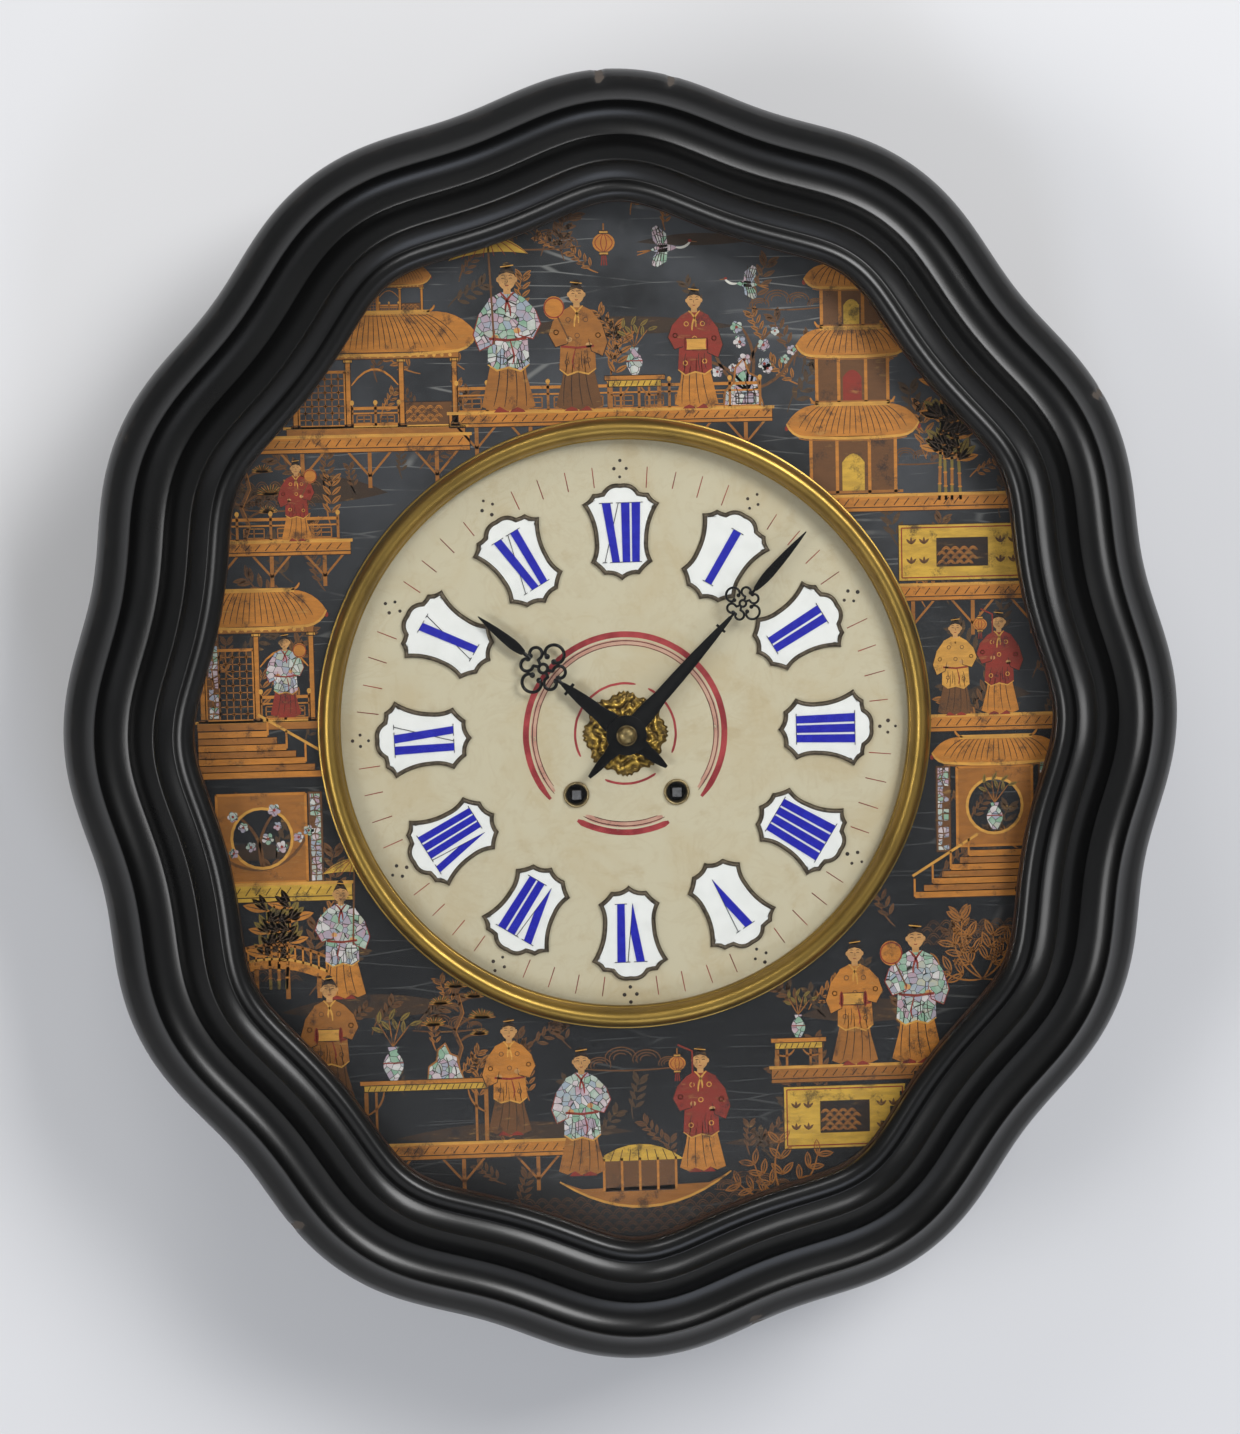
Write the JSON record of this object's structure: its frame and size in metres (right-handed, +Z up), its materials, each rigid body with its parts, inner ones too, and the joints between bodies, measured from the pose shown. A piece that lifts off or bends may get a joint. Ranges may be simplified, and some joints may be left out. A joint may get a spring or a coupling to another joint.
{
  "type": "bakers clock",
  "caption": "Oval striking wall clock with a waved ebonised frame, lacquered panel, alabaster dial and enamel hour plaques, hinged glazed front and a pendulum movement.",
  "frame": {"origin": "on the wall plane behind the centre of the frame, at the back board's back face", "axes": "+X to the viewer's right, +Y into the wall, +Z up; the front faces -Y"},
  "size_m": [0.5558, 0.1415, 0.645],
  "materials": {
    "black_wood": "satin ebonised wood, polished over",
    "box_wood": "unpolished brown softwood",
    "board_wood": "black stained board",
    "lacquer": "black lacquer with gold and shell decoration",
    "aged_brass": "aged, lightly tarnished",
    "alabaster": "polished cream alabaster with tan clouding",
    "bronze": "dark bronze patina",
    "enamel": "glossy white enamel",
    "gilt": "fire gilt",
    "blued_black": "blackened steel",
    "train_brass": "brushed brass",
    "bell_metal": "turned bell metal",
    "steel": "brushed steel",
    "clear_glass": "flat clear glass"
  },
  "bodies": {
    "case": {"back_board": "box_wood", "case_sides": "box_wood", "case_ends": "box_wood", "corner_blocks": "box_wood", "front_board": "board_wood", "lacquer_panel": "lacquer", "bezel": "aged_brass", "dial": "alabaster", "cartouche_rims": "bronze", "enamel_plaques": "enamel", "winding_grommets": "bronze", "centre_rosette": "gilt", "hanging_plate": "aged_brass", "case_hinge_leaves": "aged_brass", "hinge_pins": "aged_brass", "movement_posts": "steel", "back_plate": "train_brass", "front_plate": "train_brass", "plate_pillars": "train_brass", "pillar_nuts": "steel", "dial_feet": "train_brass", "back_cock": "train_brass", "bell_stand": "steel", "bell": "bell_metal", "click_springs": "steel", "motion_post": "steel"},
    "door": {"front_frame": "black_wood", "glass": "clear_glass", "glass_bead": "black_wood", "door_hinge_leaves": "aged_brass", "latch_post": "aged_brass"},
    "latch": {"latch_button": "aged_brass"},
    "minute": {"centre_arbor": "steel", "centre_wheel": "train_brass", "cannon_pinion": "steel", "minute_hand": "blued_black", "hand_nut": "gilt"},
    "hour": {"hour_wheel": "train_brass", "hour_hand": "blued_black"},
    "minute_wheel": {"minute_wheel": "train_brass"},
    "intermediate": {"intermediate_wheel": "train_brass"},
    "going_barrel": {"going_barrel": "train_brass"},
    "third": {"third_wheel": "train_brass"},
    "escape": {"escape_wheel": "train_brass"},
    "going_winding": {"going_winding_arbor": "steel"},
    "strike_winding": {"strike_winding_arbor": "steel"},
    "going_click": {"going_click": "steel"},
    "strike_click": {"strike_click": "steel"},
    "pendulum": {"suspension_spring": "steel", "pendulum_rod": "train_brass", "pendulum_bob": "train_brass"},
    "rating": {"rating_nut": "train_brass"},
    "anchor": {"anchor": "steel", "crutch": "steel"},
    "strike_barrel": {"strike_barrel": "train_brass"},
    "pin_wheel": {"pin_wheel": "train_brass"},
    "locking": {"locking_wheel": "train_brass"},
    "fly": {"fly": "train_brass"},
    "hammer": {"hammer": "steel"}
  },
  "joints": [
    {"name": "door_hinge", "type": "hinge", "parent": "case", "child": "door", "pos_m": [-0.247, -0.104, 0], "axis": [0, 0, -1], "range_deg": [0, 100]},
    {"name": "latch_turn", "type": "hinge", "parent": "door", "child": "latch", "pos_m": [0.25, -0.093, 0], "axis": [0, -1, 0], "range_deg": [0, 90]},
    {"name": "minute_turn", "type": "hinge", "parent": "case", "child": "minute", "pos_m": [0, -0.065, -0.005], "axis": [0, 1, 0], "continuous": true},
    {"name": "hour_turn", "type": "hinge", "parent": "case", "child": "hour", "pos_m": [0, -0.065, -0.005], "axis": [0, 1, 0], "continuous": true},
    {"name": "minute_wheel_turn", "type": "hinge", "parent": "case", "child": "minute_wheel", "pos_m": [0, -0.065, 0.013], "axis": [0, 1, 0], "continuous": true},
    {"name": "intermediate_turn", "type": "hinge", "parent": "case", "child": "intermediate", "pos_m": [0.01886, -0.065, -0.00887], "axis": [0, 1, 0], "continuous": true},
    {"name": "going_barrel_turn", "type": "hinge", "parent": "case", "child": "going_barrel", "pos_m": [0.02515, -0.065, -0.035], "axis": [0, 1, 0], "continuous": true},
    {"name": "third_wheel_turn", "type": "hinge", "parent": "case", "child": "third", "pos_m": [0.01017, -0.065, 0.01043], "axis": [0, 1, 0], "continuous": true},
    {"name": "escape_wheel_turn", "type": "hinge", "parent": "case", "child": "escape", "pos_m": [0, -0.065, 0.022], "axis": [0, 1, 0], "continuous": true},
    {"name": "going_winding_turn", "type": "hinge", "parent": "case", "child": "going_winding", "pos_m": [0.02515, -0.065, -0.035], "axis": [0, 1, 0], "continuous": true},
    {"name": "strike_winding_turn", "type": "hinge", "parent": "case", "child": "strike_winding", "pos_m": [-0.02515, -0.065, -0.035], "axis": [0, 1, 0], "continuous": true},
    {"name": "going_click_lift", "type": "hinge", "parent": "case", "child": "going_click", "pos_m": [0.03865, -0.065, -0.026], "axis": [0, 1, 0], "range_deg": [0, 12]},
    {"name": "strike_click_lift", "type": "hinge", "parent": "case", "child": "strike_click", "pos_m": [-0.03865, -0.065, -0.026], "axis": [0, -1, 0], "range_deg": [0, 12]},
    {"name": "pendulum_swing", "type": "hinge", "parent": "case", "child": "pendulum", "pos_m": [0, -0.0305, 0.037], "axis": [0, 1, 0], "range_deg": [-3, 3]},
    {"name": "anchor_rock", "type": "hinge", "parent": "case", "child": "anchor", "pos_m": [0, -0.065, 0.037], "axis": [0, 1, 0], "range_deg": [-3, 3]},
    {"name": "rating_nut_turn", "type": "hinge", "parent": "pendulum", "child": "rating", "pos_m": [0, -0.0305, -0.188], "axis": [0, 0, 1], "continuous": true},
    {"name": "strike_barrel_turn", "type": "hinge", "parent": "case", "child": "strike_barrel", "pos_m": [-0.02515, -0.065, -0.035], "axis": [0, 1, 0], "continuous": true},
    {"name": "pin_wheel_turn", "type": "hinge", "parent": "case", "child": "pin_wheel", "pos_m": [-0.01886, -0.065, -0.00887], "axis": [0, 1, 0], "continuous": true},
    {"name": "locking_wheel_turn", "type": "hinge", "parent": "case", "child": "locking", "pos_m": [-0.0276, -0.065, 0.00829], "axis": [0, 1, 0], "continuous": true},
    {"name": "fly_turn", "type": "hinge", "parent": "case", "child": "fly", "pos_m": [-0.02417, -0.065, 0.02106], "axis": [0, 1, 0], "continuous": true},
    {"name": "hammer_swing", "type": "hinge", "parent": "case", "child": "hammer", "pos_m": [-0.046, -0.065, 0.003], "axis": [0, 1, 0], "range_deg": [-9, 0.8]}
  ],
  "couplings": [
    {"joint": "hour_turn", "follows": "minute_turn", "ratio": 0.083333},
    {"joint": "minute_wheel_turn", "follows": "minute_turn", "ratio": -0.33333},
    {"joint": "intermediate_turn", "follows": "minute_turn", "ratio": -0.16667},
    {"joint": "going_barrel_turn", "follows": "minute_turn", "ratio": 0.027778},
    {"joint": "third_wheel_turn", "follows": "minute_turn", "ratio": -10},
    {"joint": "escape_wheel_turn", "follows": "minute_turn", "ratio": 100},
    {"joint": "anchor_rock", "follows": "pendulum_swing", "ratio": 1},
    {"joint": "pin_wheel_turn", "follows": "strike_barrel_turn", "ratio": -6},
    {"joint": "locking_wheel_turn", "follows": "strike_barrel_turn", "ratio": 36},
    {"joint": "fly_turn", "follows": "strike_barrel_turn", "ratio": -288}
  ]
}
